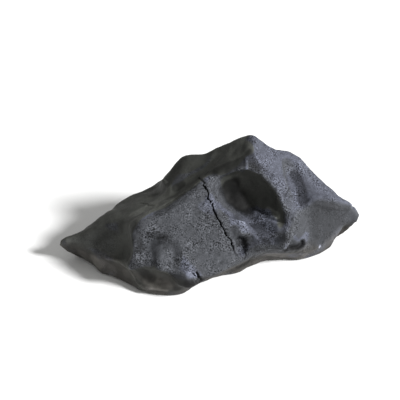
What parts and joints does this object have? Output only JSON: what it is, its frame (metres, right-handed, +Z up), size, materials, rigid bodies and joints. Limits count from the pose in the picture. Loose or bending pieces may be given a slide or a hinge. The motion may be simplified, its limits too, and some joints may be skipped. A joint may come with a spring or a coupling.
{
  "type": "meteorite",
  "caption": "Stony meteorite with a dark fusion crust: a long peaked stone with flat faces, a deep hollow, shallow thumbprints, a winding crack and a flat underside to rest on.",
  "frame": {"origin": "centre of the bounding box in X and Y, at the flat underside that the stone rests on (z = 0)", "axes": "+X along the longest extent, from the low blunt end to the end beside the peak; +Y from the broad front face to the back; +Z up from the face it rests on"},
  "size_m": [0.1, 0.0558, 0.0421],
  "materials": {
    "fusion_crust": "matt, granular black-grey fusion crust"
  },
  "bodies": {
    "root": {"stone": "fusion_crust"}
  },
  "joints": []
}
